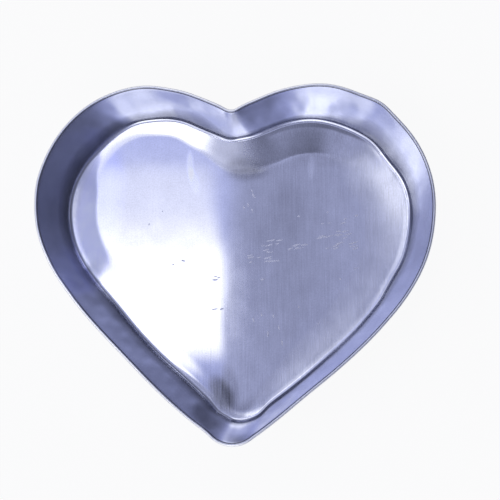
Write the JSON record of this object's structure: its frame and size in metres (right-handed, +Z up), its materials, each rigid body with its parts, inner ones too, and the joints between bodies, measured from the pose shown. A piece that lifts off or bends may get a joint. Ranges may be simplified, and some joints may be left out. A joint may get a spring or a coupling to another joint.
{
  "type": "heart cake pan",
  "caption": "Heart-shaped cake pan drawn from one aluminium sheet, with a flat floor, a rounded base, a flared wall and an edge rolled outwards.",
  "frame": {"origin": "on the underside of the flat floor, on the line from tip to cleft, midway along the heart", "axes": "+Z up out of the pan's mouth, +Y from the tip of the heart towards its cleft, +X towards the right lobe seen from above"},
  "size_m": [0.2623, 0.2357, 0.0508],
  "materials": {
    "aluminium_sheet": "bright rolled sheet, lightly scratched"
  },
  "bodies": {
    "root": {"heart_pan": "aluminium_sheet"}
  },
  "joints": []
}
